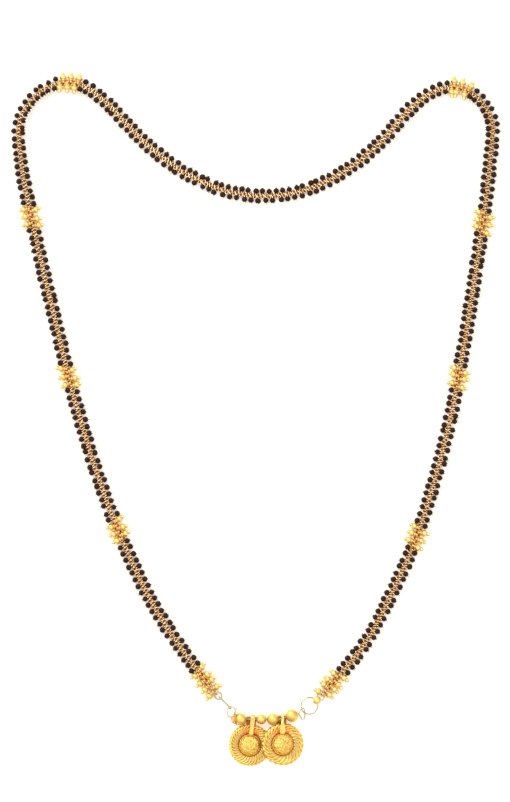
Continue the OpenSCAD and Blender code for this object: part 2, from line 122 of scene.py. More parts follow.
# No two pins of the handmade band stand quite alike.
wobble_aside = 0.1 * MM
wobble_up = 0.06 * MM
wobble_seed = 8
chance = random.Random(wobble_seed)
wobble = [Vector((chance.gauss(0, wobble_aside), chance.gauss(0, wobble_aside),
                  abs(chance.gauss(0, wobble_up)))) for _ in range(2 * (last_pair + 1))]


def pin_foot(number):
    """Where a pin crosses the chain's middle, and the band's roll there."""
    place = along_chain(first_pin_at + number / 2 * pin_step) + wobble[number % len(wobble)]
    at_left = math.exp(-((place - left_shoulder).length / shoulder_reach) ** 2)
    at_right = math.exp(-((place - right_shoulder).length / shoulder_reach) ** 2)
    turn = left_shoulder_roll * at_left + right_shoulder_roll * at_right
    return place + Vector((0, 0, chain_height + bead_out * math.sin(turn))), turn


def mark(thing, title, values, kind="FLOAT"):
    """Keeps a value for each point of a piece, for the tree or the finish that reads it."""
    thing.data.attributes.new(title, kind, "POINT").data.foreach_set("value", values)


def chain_stations(name, wanted, widest=(), spare=0):
    """The foot of every pin, joined in order, with what a tree needs to put pins on them.
    The pins lie on the table on their widest spots, each given as its place and radius.
    Spare pairs go on beyond both ends of the chain, in the clusters there."""
    points, edges, right, mine, roll, fan = [], [], [], [], [], []
    for number in range(-2 * spare, 2 * (last_pair + 1 + spare)):
        pair, side = divmod(number, 2)
        reach = cluster_reach if 0 <= pair <= last_pair else spare_reach
        place, turn = pin_foot(number)
        place.z = max([place.z] + [out * math.sin(turn) + radius for out, radius in widest])
        steps_off = [pair - middle - lead * (1 - side) for middle, lead in cluster_middles]
        near = [steps for steps in steps_off if abs(steps) <= reach]
        points.append(place)
        right.append(side == 1)
        mine.append(wanted == bool(near))
        roll.append(-turn)
        fan.append(-near[0] * (1 - 2 * side) if near else 0)
        if len(points) > 1:
            edges.append((len(points) - 2, len(points) - 1))
    mesh = bpy.data.meshes.new(name)
    mesh.from_pydata(points, edges, [])
    thing = bpy.data.objects.new(name, mesh)
    bpy.context.collection.objects.link(thing)
    mark(thing, "right", right, "BOOLEAN")
    mark(thing, "mine", mine, "BOOLEAN")
    mark(thing, "roll", roll)
    mark(thing, "fan", fan)
    return thing


class Link:
    """A node's output. Arithmetic on links adds Math nodes, and node() adds any other node."""

    def __init__(self, tree, socket=None):
        self.tree, self.socket = tree, socket

    def node(self, kind, settings=(), inputs=(), output=None):
        made = self.tree.nodes.new(kind)
        for name, value in dict(settings).items():
            if name == "stops":
                while len(made.color_ramp.elements) < len(value):
                    made.color_ramp.elements.new(1)
                for stop, (position, colour) in zip(made.color_ramp.elements, value):
                    stop.position, stop.color = position, (*colour, 1)
            else:
                setattr(made, name, value)
        for name, value in dict(inputs).items():
            free = [s for s in made.inputs if s.enabled and s.name == name]
            socket = made.inputs[name] if isinstance(name, int) else free[0]
            for one in value if isinstance(value, list) else [value]:
                if isinstance(one, Link):
                    self.tree.links.new(one.socket, socket)
                else:
                    socket.default_value = one
        given = [s for s in made.outputs if s.enabled and output in (None, s.name)]
        return Link(self.tree, given[0] if given else None)

    def other(self, output):
        return Link(self.tree, self.socket.node.outputs[output])

    def maths(self, operation, *values):
        return self.node("ShaderNodeMath", {"operation": operation}, enumerate(values))

    def __add__(self, other):
        return self.maths("ADD", self, other)

    def __sub__(self, other):
        return self.maths("SUBTRACT", self, other)

    def __rsub__(self, other):
        return self.maths("SUBTRACT", other, self)

    def __mul__(self, other):
        return self.maths("MULTIPLY", self, other)

    def __truediv__(self, other):
        return self.maths("DIVIDE", self, other)

    __radd__ = __add__
    __rmul__ = __mul__


def new_tree(name, inputs):
    """An empty geometry tree with named inputs, and a link to start from."""
    tree = bpy.data.node_groups.new(name, "GeometryNodeTree")
    for title, kind in inputs.items():
        tree.interface.new_socket(title, in_out="INPUT", socket_type="NodeSocket" + kind)
    tree.interface.new_socket("Result", in_out="OUTPUT", socket_type="NodeSocketGeometry")
    return tree, Link(tree).node("NodeGroupInput")


def finish_tree(given, geometry):
    """Ends a tree with real meshes in its material."""
    real = given.node("GeometryNodeRealizeInstances", {}, {"Geometry": geometry})
    done = given.node("GeometryNodeSetMaterial", {},
                      {"Geometry": real, "Material": given.other("Finish")})
    given.node("NodeGroupOutput", {}, {"Result": done})


def pins_along_chain():
    """The tree that puts a pin on each wanted station, square to the chain."""
    tree, given = new_tree("pins along the chain", {
        "Stations": "Geometry", "Left pin": "Object", "Right pin": "Object", "Fan": "Float",
        "Sway": "Float", "Rise": "Float", "Size spread": "Float", "Seed": "Int",
        "Finish": "Material"})

    def station(name, kind):
        return given.node("GeometryNodeInputNamedAttribute", {"data_type": kind}, {"Name": name})

    def random_value(amount, low, salt):
        return given.node("FunctionNodeRandomValue", {"data_type": "FLOAT"},
                          {"Min": amount * low, "Max": amount,
                           "Seed": given.other("Seed") + salt})

    def turn(rotation, axis, angle):
        by = given.node("FunctionNodeAxisAngleToRotation", {}, {"Axis": axis, "Angle": angle})
        return given.node("FunctionNodeRotateRotation", {"rotation_space": "LOCAL"},
                          {"Rotation": rotation, "Rotate By": by})

    right, mine = station("right", "BOOLEAN"), station("mine", "BOOLEAN")
    curve = given.node("GeometryNodeMeshToCurve", {}, {"Mesh": given})
    heading = given.node("FunctionNodeAlignRotationToVector", {"axis": "X", "pivot_axis": "Z"},
                         {"Vector": given.node("GeometryNodeInputTangent")})
    rolled = turn(heading, (1, 0, 0), station("roll", "FLOAT"))
    sway = (random_value(given.other("Sway"), low=-1, salt=1)
            + station("fan", "FLOAT") * given.other("Fan"))
    across = turn(rolled, (0, 0, 1), right * math.pi + sway)
    raised = turn(across, (1, 0, 0), random_value(given.other("Rise"), low=0, salt=2))
    size = random_value(given.other("Size spread"), low=-1, salt=3) + 1
    pins = []
    for title, choice in (("Left pin", "NIMPLY"), ("Right pin", "AND")):
        chosen = given.node("FunctionNodeBooleanMath", {"operation": choice}, {0: mine, 1: right})
        pin = given.node("GeometryNodeObjectInfo", {}, {"Object": given.other(title)}, "Geometry")
        pins.append(given.node("GeometryNodeInstanceOnPoints", {}, {
            "Points": curve, "Selection": chosen, "Instance": pin, "Rotation": raised,
            "Scale": size}))
    finish_tree(given, given.node("GeometryNodeJoinGeometry", {}, {"Geometry": pins}))
    return tree


def grown(thing, tree, values):
    """The object with the plain mesh that a tree makes of it, and the tree taken off."""
    modifier = thing.modifiers.new("shape", "NODES")
    modifier.node_group = tree
    for item in tree.interface.items_tree:
        if item.in_out == "INPUT" and item.name in values:
            modifier[item.identifier] = values[item.name]
    ready = thing.evaluated_get(bpy.context.evaluated_depsgraph_get())
    thing.data = bpy.data.meshes.new_from_object(ready)
    thing.modifiers.clear()
    return thing


def full_turn(steps, start=0):
    """Even angles once round, which begin a share of a step on."""
    return [2 * math.pi * (k + start) / steps for k in range(steps)]


def skin(rows, closed=False):
    """Faces between rings of point numbers. The ring of a pole is one number repeated."""
    faces = []
    for low, high in zip(rows, rows[1:] + rows[:1] if closed else rows[1:]):
        for k in range(len(low)):
            face = list(dict.fromkeys([low[k - 1], low[k], high[k], high[k - 1]]))
            if len(face) > 2:
                faces.append(face)
    return faces


def turned(profile, sides, closed=False):
    """Points and faces of a profile of (radius, distance) turned round +Y."""
    points, rows = [], []
    for radius, distance in profile:
        count = sides if radius else 1
        rows.append([len(points) + k % count for k in range(sides)])
        points += [Vector((radius * math.cos(angle), distance, radius * math.sin(angle)))
                   for angle in full_turn(count)]
    return points, skin(rows, closed)


def oval(width, length, middle, steps, hole=0):
    """The profile of a rounded bead, from its near end to its far end."""
    start = math.asin(hole / width)
    profile = []
    for step in range(steps + 1):
        angle = start + (math.pi - 2 * start) * step / steps
        pole = not hole and step in (0, steps)
        profile.append((0 if pole else width / 2 * math.sin(angle),
                        middle - length / 2 * math.cos(angle)))
    return profile


def joined(*shapes):
    """Several shapes as one list of points and one of faces."""
    points, faces = [], []
    for more_points, more_faces in shapes:
        faces += [[index + len(points) for index in face] for face in more_faces]
        points += more_points
    return points, faces


def solid(name, shape, finish=None):
    """A smooth object of points and faces, with all its faces turned outwards."""
    mesh = bpy.data.meshes.new(name)
    mesh.from_pydata(shape[0], [], shape[1])
    work = bmesh.new()
    work.from_mesh(mesh)
    bmesh.ops.recalc_face_normals(work, faces=work.faces)
    work.to_mesh(mesh)
    work.free()
    mesh.shade_smooth()
    if finish:
        mesh.materials.append(finish)
    thing = bpy.data.objects.new(name, mesh)
    bpy.context.collection.objects.link(thing)
    return thing


def kept(thing, slot, *nodes):
    """Puts a finished piece on the necklace in place of CAD nodes."""
    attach(thing, "root")
    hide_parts(*nodes)


def new_finish(name):
    """A material with an empty tree, and a link to its object coordinates to start from."""
    finish = bpy.data.materials.new(name)
    finish.use_nodes = True
    finish.node_tree.nodes.clear()
    return finish, Link(finish.node_tree).node("ShaderNodeTexCoord", {}, {}, "Object")


def noise(place, scale, detail=2):
    """Smooth noise from 0 to 1 on a piece, with a scale in bumps a metre."""
    return place.node("ShaderNodeTexNoise", {}, {"Vector": place, "Scale": scale,
                                                 "Detail": detail})


def blended(share, first, second):
    """A colour between two colours or colour links."""
    first, second = [c if isinstance(c, Link) else (*c, 1) for c in (first, second)]
    return share.node("ShaderNodeMix", {"data_type": "RGBA"},
                      {"Factor": share, "A": first, "B": second})


glass_black = (0.008, 0.002, 0.001)
glass_brown = (0.04, 0.012, 0.006)
glass_cloud_scale = 900
glass_grain_scale = 6000
glass_relief = 0.03 * MM
glass_rough = 0.2
glass_rough_spread = 0.2


def black_glass():
    finish, place = new_finish("black glass")
    grain = noise(place, glass_grain_scale)
    bump = place.node("ShaderNodeBump", {}, {"Height": grain, "Strength": 0.25,
                                             "Distance": glass_relief})
    surface = place.node("ShaderNodeBsdfPrincipled", {}, {
        "Base Color": blended(noise(place, glass_cloud_scale), glass_black, glass_brown),
        "Roughness": glass_rough + grain * glass_rough_spread, "Normal": bump,
        "Specular IOR Level": 0.14})
    place.node("ShaderNodeOutputMaterial", {}, {"Surface": surface})
    return finish


pin_tree = pins_along_chain()
pin_stance = {"Fan": 0.0, "Sway": math.radians(8), "Rise": math.radians(7), "Seed": 11}


def planted(stations, pins, values):
    """The first pin on each left station and the last one on each right, as a plain mesh."""
    grown(stations, pin_tree, {**pin_stance, "Left pin": pins[0], "Right pin": pins[-1],
                               **values})
    for pin in pins:
        bpy.data.objects.remove(pin)
    return stations


bead = solid("bead", turned(oval(bead_width, bead_length, bead_out, steps=7, hole=bead_hole),
                            sides=12, closed=True))
black_beads = planted(chain_stations("black_beads", wanted=False), [bead],
                      {"Size spread": 0.06, "Finish": black_glass()})
kept(black_beads, "black_glass", *[f"black_beads_{number}" for number in range(1, 10)])


# Bead pins
# Gold wire pins that carry the black beads. One end is melted to a ball, and the other is
# bent to an eye that holds the next pin, so that the eyes make a braid down the middle.

pin_wire = 0.46 * MM
pin_wire_sides = 6
pin_ball = 1.05 * MM
pin_ball_out = 3.25 * MM
eye_across = 0.42 * MM
eye_radius = 0.74 * MM
eye_mouth = 0.8 * MM
eye_tilt = math.radians(27)
eye_bends = range(15, 345, 30)
core_width = 1.9 * MM
core_height = 0.5 * MM
core_sunk = 0.45 * MM
core_bulge = 0.12
core_sides = 8
# The share of a wire's radius at the ring that rounds its open end.
end_ring = 0.7


def wire(path, thickness, sides, closed=False):
    """A round wire along a path, with rounded ends where it is open."""
    radius = thickness / 2
    edge = radius * end_ring
    stations = [(point, radius) for point in path]
    if not closed:
        first, last = (path[0] - path[1]).normalized(), (path[-1] - path[-2]).normalized()
        stations = [(path[0] + first * radius, 0), (path[0] + first * edge, edge), *stations,
                    (path[-1] + last * edge, edge), (path[-1] + last * radius, 0)]
    count = len(stations)
    points, rows = [], []
    side = None
    for index, (middle, r) in enumerate(stations):
        before = stations[index - 1 if closed else max(index - 1, 0)][0]
        after = stations[(index + 1) % count if closed else min(index + 1, count - 1)][0]
        ahead = (after - before).normalized()
        if side is None:
            side = ahead.orthogonal()
        side = (side - ahead * side.dot(ahead)).normalized()
        up = ahead.cross(side)
        ring = sides if r else 1
        rows.append([len(points) + k % ring for k in range(sides)])
        points += [middle + (side * math.cos(angle) + up * math.sin(angle)) * r
                   for angle in full_turn(ring)]
    return points, skin(rows, closed)


def eye_pin(tilt, stop):
    """A pin along +Y whose eye lies across the chain's middle, tilted to pass its neighbours."""
    lean = Matrix.Rotation(tilt, 4, "Y")
    middle = Vector((0, -eye_across, 0))
    path = [Vector((0, stop, 0)), Vector((0, eye_mouth, 0))]
    for angle in [math.radians(degrees) for degrees in eye_bends]:
        path.append(lean @ (middle + Vector((math.sin(angle), math.cos(angle), 0)) * eye_radius))
    return wire(path, pin_wire, pin_wire_sides)


def ball_pin(tilt):
    """A pin that ends in a melted ball."""
    return joined(eye_pin(tilt, pin_ball_out),
                  turned(oval(pin_ball, pin_ball, pin_ball_out, steps=5), sides=8))


def pair_of_pins(make):
    """A left and a right pin, which differ in the tilt of their eyes. How far out each point
    of them lies is kept for their finish."""
    pins = []
    for side, tilt in (("left", -eye_tilt), ("right", eye_tilt)):
        pin = solid(side + " pin", make(tilt))
        mark(pin, "out", [vertex.co.y / MM for vertex in pin.data.vertices])
        pins.append(pin)
    return pins


def braid_core():
    """The lower layers of the braid, a flat band that follows the chain and its roll."""
    feet = [pin_foot(number) for number in range(2 * (last_pair + 1))]
    points, rows = [], []
    for index, (place, turn) in enumerate(feet):
        ahead = feet[min(index + 1, len(feet) - 1)][0] - feet[max(index - 1, 0)][0]
        left = Vector((0, 0, 1)).cross(ahead).normalized()
        across = left * math.cos(turn) - Vector((0, 0, 1)) * math.sin(turn)
        up = ahead.cross(across).normalized()
        bulge = 1 + core_bulge * (-1) ** index
        rows.append(list(range(len(points), len(points) + core_sides)))
        points += [place + across * math.cos(angle) * core_width / 2 * bulge
                   + up * (math.sin(angle) * core_height / 2 - core_sunk)
                   for angle in full_turn(core_sides)]
    return points, skin(rows) + [rows[0], rows[-1][::-1]]


def gold(name, bright, deep, rough, cloud_scale=700, grain_scale=5000, relief=0.02 * MM,
         tints=()):
    """Gold with uneven colour and a fine grain. Each tint gives an attribute of the piece,
    its values where the tint starts and where it is full, and the tint's colour."""
    finish, place = new_finish(name)
    cloud = place.node("ShaderNodeMapRange", {}, {"Value": noise(place, cloud_scale),
                                                  "From Min": 0.35, "From Max": 0.7})
    colour = blended(cloud, bright, deep)
    for title, start, full, tint in tints:
        measure = place.node("ShaderNodeAttribute", {"attribute_name": title}, {}, "Fac")
        share = place.node("ShaderNodeMapRange", {}, {"Value": measure, "From Min": start,
                                                      "From Max": full})
        colour = blended(share, colour, tint)
    grain = noise(place, grain_scale)
    bump = place.node("ShaderNodeBump", {}, {"Height": grain, "Strength": 0.5,
                                             "Distance": relief})
    rough_spread = 0.16
    surface = place.node("ShaderNodeBsdfPrincipled", {}, {
        "Base Color": colour, "Metallic": 1.0, "Specular Tint": (1, 0.7, 0.28, 1),
        "Roughness": rough - rough_spread / 2 + grain * rough_spread, "Normal": bump})
    place.node("ShaderNodeOutputMaterial", {}, {"Surface": surface})
    return finish


# The pins' ball ends are painted pale cream, a painted sheen.
pin_gold_and_sheen = gold("pin gold and painted sheen", bright=(1.0, 0.82, 0.55), deep=(0.9, 0.6, 0.32), rough=0.26,
                tints=[("out", 2.9, 3.5, (0.96, 0.9, 0.74))])
pins = pair_of_pins(ball_pin)
bead_pins = planted(chain_stations("bead_pins", wanted=False), pins,
                    {"Size spread": 0.0, "Finish": pin_gold_and_sheen})
kept(bead_pins, "braid_gold", "gold_braid")
# The braid's lower layers are painted near black, as painted shade seen through the eyes of the
# pins.
braid_core_shade = gold("core gold", bright=(0.3, 0.12, 0.02), deep=(0.1, 0.03, 0.004), rough=0.5,
                 cloud_scale=1100)
kept(solid("braid_core", braid_core(), braid_core_shade), "braid_gold", "gold_braid")


# Gold clusters
# Three pins on each side that carry a satin gold bead instead of a glass one, and one more
# at both ends of the chain. Each has a narrow neck and a ball with a short tip, and these are
# painted paler, a painted sheen.

gold_bead_width = 2.8 * MM
gold_bead_length = 2.4 * MM
gold_bead_out = 2.35 * MM
collar_width = 2.1 * MM
collar_length = 1.0 * MM
collar_out = 1.0 * MM
knot = 1.3 * MM
knot_place = Vector((0, 0.2, 0.35)) * MM
neck_radius = 0.7 * MM
neck_wire = 0.3 * MM
neck_out = gold_bead_out + gold_bead_length / 2 - 0.02 * MM
tip_ball = 1.55 * MM
tip_ball_out = 4.0 * MM
tip_radius = 0.26 * MM
tip_end_radius = 0.22 * MM
tip_from = tip_ball_out + 0.4 * MM
tip_to = 4.75 * MM
tip_bevel = 0.1 * MM
gold_pin_stop = 3.4 * MM
end_spare_pairs = 1


def combined(*matrices):
    """The matrix that does what each of these does in turn, the last one first."""
    matrix = Matrix.Identity(4)
    for one in matrices:
        matrix = matrix @ one
    return matrix


def moved(shape, *matrices):
    """The same faces with their points moved by the matrices, the last one first."""
    matrix = combined(*matrices)
    return [matrix @ point for point in shape[0]], shape[1]


def shifted(*place):
    return Matrix.Translation(Vector(place))


def spun(degrees, axis):
    return Matrix.Rotation(math.radians(degrees), 4, axis)


def ring_profile(radius, distance, width, height, steps):
    """The oval section of a ring round +Y, with its place and size."""
    return [(radius + width / 2 * math.cos(angle), distance + height / 2 * math.sin(angle))
            for angle in full_turn(steps)]


def cluster_pin(tilt):
    """A pin with its collar, bead, neck, ball and tip."""
    gold_bead = turned(oval(gold_bead_width, gold_bead_length, gold_bead_out, steps=12), sides=20)
    collar = turned(oval(collar_width, collar_length, collar_out, steps=6), sides=14)
    middle_knot = moved(turned(oval(knot, knot, 0, steps=7), sides=12), shifted(*knot_place))
    neck = turned(ring_profile(neck_radius, neck_out, neck_wire, neck_wire, steps=8), sides=16,
                  closed=True)
    pale_ball = turned(oval(tip_ball, tip_ball, tip_ball_out, steps=8), sides=14)
    tip = turned([(0, tip_ball_out), (tip_radius, tip_from),
                  (tip_end_radius, tip_to - tip_bevel), (0, tip_to)], sides=10)
    return joined(eye_pin(tilt, gold_pin_stop), gold_bead, collar, middle_knot, neck, pale_ball,
                  tip)


# Each pin is painted darker and warmer where it goes into the braid, as painted shade, and paler
# from its neck out, as a painted sheen.
cluster_gold_shade_and_sheen = gold("cluster gold, painted shade and sheen", bright=(0.88, 0.72, 0.3), deep=(0.8, 0.57, 0.18), rough=0.36,
                    tints=[("out", 1.3, 0.8, (0.74, 0.47, 0.19)),
                           ("out", 3.0, 3.6, (0.78, 0.71, 0.42))])
pins = pair_of_pins(cluster_pin)
cluster_widest = [(gold_bead_out, gold_bead_width / 2), (tip_ball_out, tip_ball / 2)]
stations = chain_stations("gold_clusters", wanted=True, widest=cluster_widest,
                          spare=end_spare_pairs)
gold_clusters = planted(stations, pins, {"Fan": math.radians(5), "Size spread": 0.02,
                                         "Finish": cluster_gold_shade_and_sheen})
kept(gold_clusters, "bead_gold", *[f"gold_cluster_{number}" for number in range(1, 11)])


# Rings and links
# Jump rings and links of pale gold wire that join the two chain ends to the wire at the
# front: small rings, a long link and a ball link that stand on edge, and one large ring.

ring_wire = 0.56 * MM
ring_sides = 12
small_ring_radius = 1.4 * MM
small_ring_steps = 40
large_ring_radius = 3.4 * MM
large_ring_steps = 72
large_ring_shift = 0.2 * MM
large_ring_lean = (12, 9)
link_lift = 0.25 * MM
long_link_length, long_link_height = 7.0 * MM, 2.5 * MM
long_link_steps = 48
long_link_heading = 135
long_link_ball = 1.3 * MM
long_link_ball_rise = 0.15 * long_link_ball
ball_link_length, ball_link_height = 3.1 * MM, 2.1 * MM
ball_link_steps = 40
ball_link_heading = 40
ball_link_ball = 3.4 * MM
ball_link_ball_sunk = 0.7 * ring_wire
wire_gold = gold("wire gold", bright=(0.54, 0.51, 0.34), deep=(0.37, 0.34, 0.2), rough=0.3)


def circle(radius, steps):
    """Points of a circle that lies flat round the origin."""
    return [Vector((math.cos(angle), math.sin(angle), 0)) * radius for angle in full_turn(steps)]


def stadium(length, width, steps):
    """Points of a long rounded loop that lies flat, with its length along X."""
    half = (length - width) / 2
    ends = [Vector((math.cos(angle), math.sin(angle), 0)) * width / 2
            for angle in full_turn(steps, start=0.5)]
    return [point + Vector((math.copysign(half, point.x), 0, 0)) for point in ends]


def ball(diameter, steps=12):
    return turned(oval(diameter, diameter, 0, steps), sides=2 * steps)


def middle_of(node):
    low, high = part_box(node)
    return (low + high) / 2


for name in ("left_small_ring", "right_small_ring"):
    hoop = wire(circle(small_ring_radius, small_ring_steps), ring_wire, ring_sides, closed=True)
    kept(solid(name + "_wire", moved(hoop, shifted(*middle_of(name))), wire_gold),
         "wire_gold", name)

hoop = wire(circle(large_ring_radius, large_ring_steps), ring_wire, ring_sides, closed=True)
large_ring = solid("large_ring_wire", moved(
    hoop, shifted(*middle_of("large_ring")), shifted(0, large_ring_shift, 0),
    spun(large_ring_lean[0], "Y"), spun(large_ring_lean[1], "X")), wire_gold)
kept(large_ring, "wire_gold", "large_ring")


def link_on_edge(node, length, height, steps, heading, soldered):
    """A long link that stands on edge at its node's place, with what is soldered to it."""
    middle = middle_of(node)
    middle.z = link_lift + height / 2
    path = stadium(length - ring_wire, height - ring_wire, steps)
    return moved(joined(wire(path, ring_wire, ring_sides, closed=True), soldered),
                 shifted(*middle), spun(heading, "Z"), spun(90, "X"))


at_left_end = (ring_wire + long_link_ball - long_link_length) / 2
on_top = long_link_height / 2 + long_link_ball_rise
long_link = solid("long_link_wire", link_on_edge(
    "long_link", long_link_length, long_link_height, long_link_steps, long_link_heading,
    moved(ball(long_link_ball), shifted(at_left_end, on_top, 0))), wire_gold)
kept(long_link, "wire_gold", "long_link")

on_top = ball_link_height / 2 - ball_link_ball_sunk + ball_link_ball / 2
ball_link = solid("ball_link_wire", link_on_edge(
    "ball_link", ball_link_length, ball_link_height, ball_link_steps, ball_link_heading,
    moved(ball(ball_link_ball, steps=16), shifted(0, on_top, 0))),
    gold("link gold", bright=(0.88, 0.74, 0.34), deep=(0.74, 0.56, 0.2), rough=0.36))
kept(ball_link, "wire_gold", "ball_link")

end_eye_width = 2.2 * MM
end_eye_steps = 28
end_eye_sides = 10
end_eye_short = 0.1 * MM
stem_wire = 0.5 * MM
stem_start = 0.3 * MM
end_coil_radius = 0.45 * MM
end_coil_wire = 0.4 * MM
end_coil_step = 0.62 * MM
end_coil_lean = 12
end_coil_steps = 18


def end_eye(name, braid_end):
    """The chain's last wire loops, which end in an eye through a small ring."""
    low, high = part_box(name)
    middle = middle_of(name)
    foot = Vector((braid_end.x, braid_end.y, 0))
    far = Vector((high.x if middle.x > foot.x else low.x, high.y if middle.y > foot.y else low.y,
                  0))
    reach = (far - foot).length - end_eye_short
    angle = math.degrees(math.atan2((far - foot).y, (far - foot).x))
    loop = wire(circle((end_eye_width - ring_wire) / 2, end_eye_steps), ring_wire, end_eye_sides,
                closed=True)
    parts = [moved(loop, shifted(reach - end_eye_width / 2, 0, 0), spun(90, "X"))]
    stem = reach - end_eye_width
    turns = max(1, round(stem / end_coil_step))
    for number in range(turns):
        coil = wire(circle(end_coil_radius, end_coil_steps), end_coil_wire, sides=8, closed=True)
        along = stem_start + stem * (number + 0.5) / turns
        parts.append(moved(coil, shifted(along, 0, 0), spun(end_coil_lean, "Z"), spun(90, "Y")))
    parts.append(wire([Vector((0, 0, 0)), Vector((stem + stem_start, 0, 0))], stem_wire, sides=10))
    return moved(joined(*parts), shifted(foot.x, foot.y, chain_height), spun(angle, "Z"))


for name, braid_end in (("left_end_eye", chain_line[0]), ("right_end_eye", chain_line[-1])):
    kept(solid(name + "_wire", end_eye(name, braid_end), wire_gold), "wire_gold", name)


# Carrier wire
# One gold wire through the four hollow beads and both bails. It ends in an oval eye on the
# left, where its tail is wound round it, and in a three-cornered eye on the right.

bead_widths = {"a": 4.95 * MM, "b": 4.15 * MM, "c": 4.75 * MM, "d": 5.1 * MM}
bead_places = {letter: middle_of("hollow_bead_" + letter) for letter in bead_widths}
carrier_thickness = 0.5 * MM
carrier_sides = 10
wire_height = 2.5 * MM
wire_rise = math.tan(math.radians(15))
wire_before_bead = 3.7 * MM
wire_after_bead = 0.15 * MM
wire_left = bead_places["a"] - Vector((wire_before_bead, 0, 0))
bend_x = bead_places["c"].x + bead_widths["c"] / 2
bend_length = 1 * MM
wire_right_x = bead_places["d"].x + bead_widths["d"] / 2 + wire_after_bead
eye_thickness = 0.46 * MM
eye_sides = 12
left_eye_steps = 40
left_eye_length, left_eye_width = 4.24 * MM, 3.24 * MM
left_eye_place = Vector((2.9, 0, -0.53)) * MM
left_eye_heading = 92
left_eye_lean = 14
left_neck_to = (-0.03, 0.8, 0)
# The radius of each turn of the tail and its place along the wire, in millimetres.
wrap_turns = ((1.3, 0.65), (1.7, 1.35), (2.05, 2.1))
wrap_thickness = 0.42 * MM
wrap_steps = 36
wrap_lean = 22
wrap_heading = -10
wrap_heading_step = 4
# The bends of the tail from the wire's left end, and of the right eye, in millimetres.
tail_bends = ((0.9, 1.8, 0.7), (1.3, 2.7, 0.9), (1.8, 3.6, 0.7), (2.25, 4.5, 0.3))
tail_thickness = 0.4 * MM
right_eye_start = (0.05, 0.2, -0.1)
right_eye_bends = ((0, 0, 0), (0.85, 1.5, 0.25), (1.6, 2.1, 0.3), (2.25, 1.4, 0.0),
                   (2.45, -0.6, -0.7), (2.2, -2.1, -1.1), (1.4, -2.4, -1.1),
                   (0.6, -1.3, -0.6))
right_eye_steps = 6


def on_wire(x):
    """The point of the carrier wire at a given x."""
    return Vector((x, wire_left.y + max(0, x - bend_x) * wire_rise, wire_height))


def from_start(start, bends):
    """The points of some bends that are given in millimetres from a start."""
    return [start + Vector(bend) * MM for bend in bends]


wire_start, wire_end = on_wire(wire_left.x), on_wire(wire_right_x)
straight = wire([wire_start, on_wire(bend_x - bend_length), on_wire(bend_x),
                 on_wire(bend_x + bend_length), wire_end], carrier_thickness, carrier_sides)
left_eye = wire(stadium(left_eye_length, left_eye_width, left_eye_steps), eye_thickness,
                eye_sides, closed=True)
left_eye = moved(left_eye, shifted(*wire_start), spun(left_eye_heading, "Z"),
                 shifted(*left_eye_place), spun(left_eye_lean, "Y"))
left_neck = wire([wire_start, *from_start(wire_start, [left_neck_to])], carrier_thickness,
                 carrier_sides)
tail = wire(from_start(wire_start, tail_bends), tail_thickness, sides=8)
corner = wire_end + Vector(right_eye_start) * MM
right_eye = wire(smooth_line(from_start(corner, right_eye_bends), right_eye_steps, closed=True),
                 eye_thickness, eye_sides, closed=True)
wraps = []
for number, (radius, along) in enumerate(wrap_turns):
    wraps.append(moved(
        wire(circle(radius * MM, wrap_steps), wrap_thickness, sides=10, closed=True),
        shifted(*wire_start), shifted(along * MM, 0, 0),
        spun(wrap_heading + wrap_heading_step * number, "Z"), spun(90 - wrap_lean, "Y")))
carrier_wire = solid("carrier_wire_bent", joined(straight, left_eye, left_neck, tail, right_eye),
                     wire_gold)
kept(carrier_wire, "wire_gold", "carrier_wire")
wrap_gold = gold("wrap gold", bright=(0.84, 0.62, 0.24), deep=(0.6, 0.36, 0.09), rough=0.3)
kept(solid("carrier_wire_wraps", joined(*wraps), wrap_gold), "wire_gold", "carrier_wire")


# Hollow beads
# Four thin-walled round beads of satin gold sheet, made of two halves, with a turned-in
# edge round the hole at each end.

bead_opening = 0.9 * MM
bead_wall = 0.4 * MM
bead_headings = {"a": -90, "b": -90, "c": -90, "d": -75}
bead_gold = gold("bead gold", bright=(0.84, 0.66, 0.23), deep=(0.77, 0.53, 0.13), rough=0.45,
                 cloud_scale=600, grain_scale=2500, relief=0.2 * MM)
for letter, width in bead_widths.items():
    hollow = width - 2 * bead_wall
    outside = oval(width, width, 0, steps=22, hole=bead_opening)
    inside = oval(hollow, hollow, 0, steps=12, hole=bead_opening)
    piece = solid(f"hollow_bead_{letter}_shell", moved(
        turned(outside + inside[::-1], sides=44, closed=True),
        shifted(*bead_places[letter]), spun(bead_headings[letter], "Z")), bead_gold)
    kept(piece, "bead_gold", "hollow_bead_" + letter)


# Pendants
# Two domed gold cups, each soldered inside a ring of coiled gold wire, with a strip bent
# round the carrier wire as its bail. The right one's frame lies over the left one's.

cup_radius = 4.1 * MM
cup_height = 3.0 * MM
cup_wall = 0.4 * MM
cup_sides = 64
# The powers that make the dome fuller than a half ball, and how much more painted shade its
# lower edge gets than its upper one.
dome_width_power = 0.95
dome_height_power = 0.5
low_edge_shade_share = 0.25
skirt = 0.5 * MM
rim_wire = 0.5 * MM
rim_rise = 0.65 * MM
rim_height = 1.1 * MM
frame_height = 2.2 * MM
frame_inside = cup_radius + 0.36 * MM
frame_outside = 8.3 * MM
pendant_drop = 10.4 * MM
bail_thickness = 0.42 * MM
bail_eye = 1.25 * MM
bail_eye_height = 0.95 * MM
bail_back = 0.35 * MM
bail_bends = range(-150, 126, 25)
bail_over_frame = 0.35 * MM
# Where the strip comes off the carrier wire, and goes on over the frame: how far down the
# pendant and how high, in millimetres.
bail_neck = (-1.5, 0.45)
bail_strip = ((-2.9, 0.3), (-4.3, 0.15), (-5.6, 0.1), (-6.5, 0.1))
